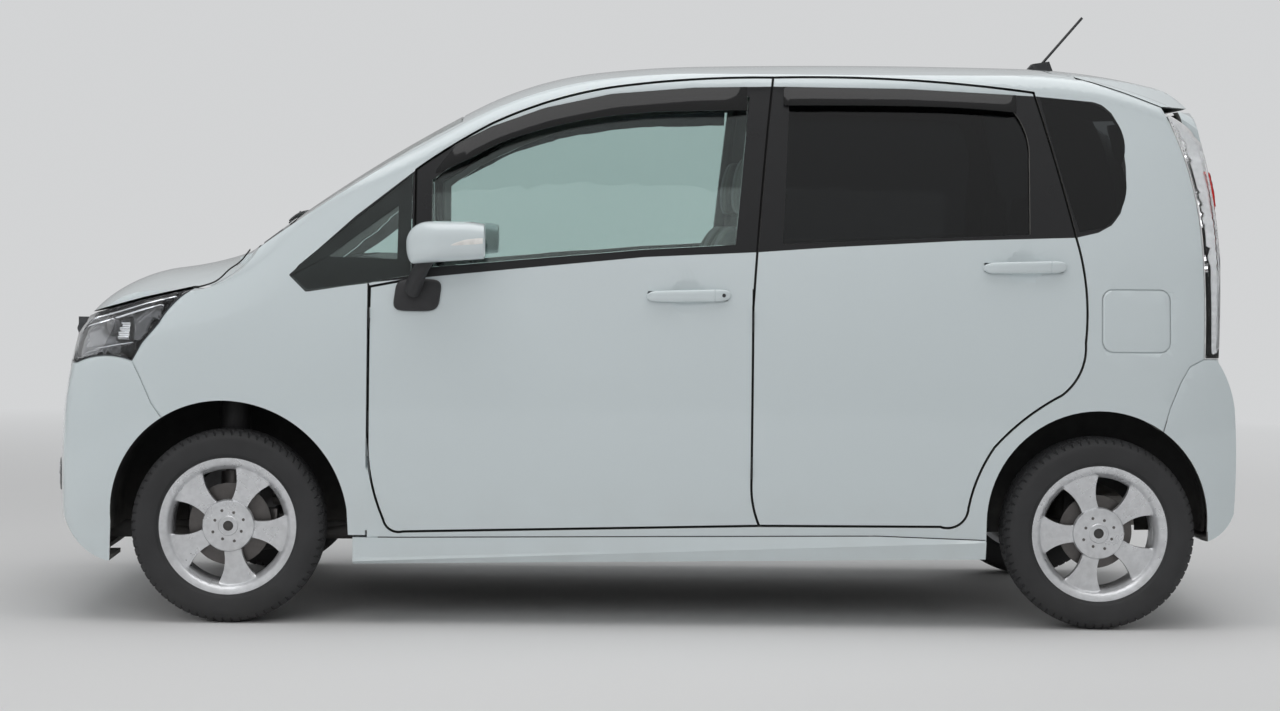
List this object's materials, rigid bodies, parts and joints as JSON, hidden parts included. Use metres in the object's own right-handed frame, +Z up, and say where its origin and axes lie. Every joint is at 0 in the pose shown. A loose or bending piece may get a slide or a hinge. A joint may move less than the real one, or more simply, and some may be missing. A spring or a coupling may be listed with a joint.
{
  "type": "kei car",
  "caption": "Small tall five-door hatchback on four road wheels, with steered front wheels, swinging doors, a lifting hood and a side-hinged back door.",
  "frame": {"origin": "on the ground, in the middle of the length and width", "axes": "+X to the rear, +Y to the car's right, +Z up"},
  "size_m": [3.3964, 1.81, 1.7775],
  "materials": {
    "body_paint": "pearl white gloss paint",
    "underbody": "black underseal over steel",
    "black_trim": "grained black plastic",
    "liner": "rough black liner",
    "clear_glass": "clear green-tinted glass",
    "dark_glass": "privacy tinted glass",
    "head_lamp": "clear lamp cover over smoked reflectors",
    "tail_lamp": "clear lamp cover over a pale reflector",
    "chrome_grille": "bright plated plastic",
    "wheel_silver": "silver lacquered cast alloy",
    "tyre_rubber": "black tyre rubber",
    "chassis_steel": "black painted steel",
    "engine_alloy": "cast alloy",
    "exhaust_steel": "aluminised steel",
    "cabin_plastic": "soft grained dark plastic",
    "seat_fabric": "woven seat cloth"
  },
  "bodies": {
    "root": {"floor_pan": "underbody", "bulkhead": "underbody", "side_frame_left": "body_paint", "side_frame_right": "body_paint", "roof": "body_paint", "spoiler": "body_paint", "fender_left": "body_paint", "fender_right": "body_paint", "front_bumper": "body_paint", "rear_bumper": "body_paint", "grilles": "black_trim", "headlamps": "head_lamp", "tail_lamps": "tail_lamp", "windscreen": "clear_glass", "fixed_side_glass": "dark_glass", "side_skirts": "body_paint", "wheel_liners": "liner", "radiator_panel": "underbody", "dashboard": "cabin_plastic", "seats": "seat_fabric", "engine_block": "engine_alloy", "fuel_tank": "black_trim", "exhaust": "exhaust_steel", "front_suspension": "chassis_steel", "rear_axle": "chassis_steel", "antenna": "black_trim"},
    "hood": {"hood": "body_paint"},
    "back_door": {"back_door": "body_paint", "back_door_glass": "dark_glass"},
    "door_front_left": {"door_front_left": "body_paint", "door_glass_front_left": "clear_glass", "mirror_left": "body_paint"},
    "door_front_right": {"door_front_right": "body_paint", "door_glass_front_right": "clear_glass", "mirror_right": "body_paint"},
    "door_rear_left": {"door_rear_left": "body_paint", "door_glass_rear_left": "dark_glass"},
    "door_rear_right": {"door_rear_right": "body_paint", "door_glass_rear_right": "dark_glass"},
    "knuckle_left": {"knuckle_left": "chassis_steel"},
    "knuckle_right": {"knuckle_right": "chassis_steel"},
    "wheel_front_left": {"wheel_front_left": "wheel_silver", "tyre_front_left": "tyre_rubber"},
    "wheel_front_right": {"wheel_front_right": "wheel_silver", "tyre_front_right": "tyre_rubber"},
    "wheel_rear_left": {"wheel_rear_left": "wheel_silver", "tyre_rear_left": "tyre_rubber"},
    "wheel_rear_right": {"wheel_rear_right": "wheel_silver", "tyre_rear_right": "tyre_rubber"},
    "steering_wheel": {"steering_wheel": "cabin_plastic"}
  },
  "joints": [
    {"name": "steer_left", "type": "hinge", "parent": "root", "child": "knuckle_left", "pos_m": [-1.1805, -0.604, 0.19], "axis": [0, 0.1994, 0.9799], "range_deg": [-32, 32]},
    {"name": "steer_right", "type": "hinge", "parent": "root", "child": "knuckle_right", "pos_m": [-1.1805, 0.604, 0.19], "axis": [0, -0.1994, 0.9799], "range_deg": [-32, 32]},
    {"name": "steering_wheel_turn", "type": "hinge", "parent": "root", "child": "steering_wheel", "pos_m": [-0.52, 0.335, 0.96], "axis": [0.8829, 0, 0.4695], "range_deg": [-480, 480]},
    {"name": "wheel_front_left_spin", "type": "hinge", "parent": "knuckle_left", "child": "wheel_front_left", "pos_m": [-1.1805, -0.6525, 0.272], "axis": [0, 1, 0], "continuous": true},
    {"name": "wheel_front_right_spin", "type": "hinge", "parent": "knuckle_right", "child": "wheel_front_right", "pos_m": [-1.1805, 0.6525, 0.272], "axis": [0, 1, 0], "continuous": true},
    {"name": "wheel_rear_left_spin", "type": "hinge", "parent": "root", "child": "wheel_rear_left", "pos_m": [1.2745, -0.65, 0.272], "axis": [0, 1, 0], "continuous": true},
    {"name": "wheel_rear_right_spin", "type": "hinge", "parent": "root", "child": "wheel_rear_right", "pos_m": [1.2745, 0.65, 0.272], "axis": [0, 1, 0], "continuous": true},
    {"name": "door_front_left_swing", "type": "hinge", "parent": "root", "child": "door_front_left", "pos_m": [-0.79, -0.7355, 0.4], "axis": [0, -0.0333, -0.9994], "range_deg": [0, 62]},
    {"name": "door_front_right_swing", "type": "hinge", "parent": "root", "child": "door_front_right", "pos_m": [-0.79, 0.7355, 0.4], "axis": [0, -0.0333, 0.9994], "range_deg": [0, 62]},
    {"name": "door_rear_left_swing", "type": "hinge", "parent": "root", "child": "door_rear_left", "pos_m": [0.2865, -0.7355, 0.4], "axis": [0, -0.0333, -0.9994], "range_deg": [0, 68]},
    {"name": "door_rear_right_swing", "type": "hinge", "parent": "root", "child": "door_rear_right", "pos_m": [0.2865, 0.7355, 0.4], "axis": [0, -0.0333, 0.9994], "range_deg": [0, 68]},
    {"name": "back_door_swing", "type": "hinge", "parent": "root", "child": "back_door", "pos_m": [1.638, 0.5625, 0.85], "axis": [-0.0599, 0, 0.9982], "range_deg": [0, 88]},
    {"name": "hood_lift", "type": "hinge", "parent": "root", "child": "hood", "pos_m": [-1.05, 0, 1.038], "axis": [0, 1, 0], "range_deg": [0, 50]}
  ],
  "couplings": [
    {"joint": "steer_right", "follows": "steer_left", "ratio": 1},
    {"joint": "steering_wheel_turn", "follows": "steer_left", "ratio": 15}
  ]
}
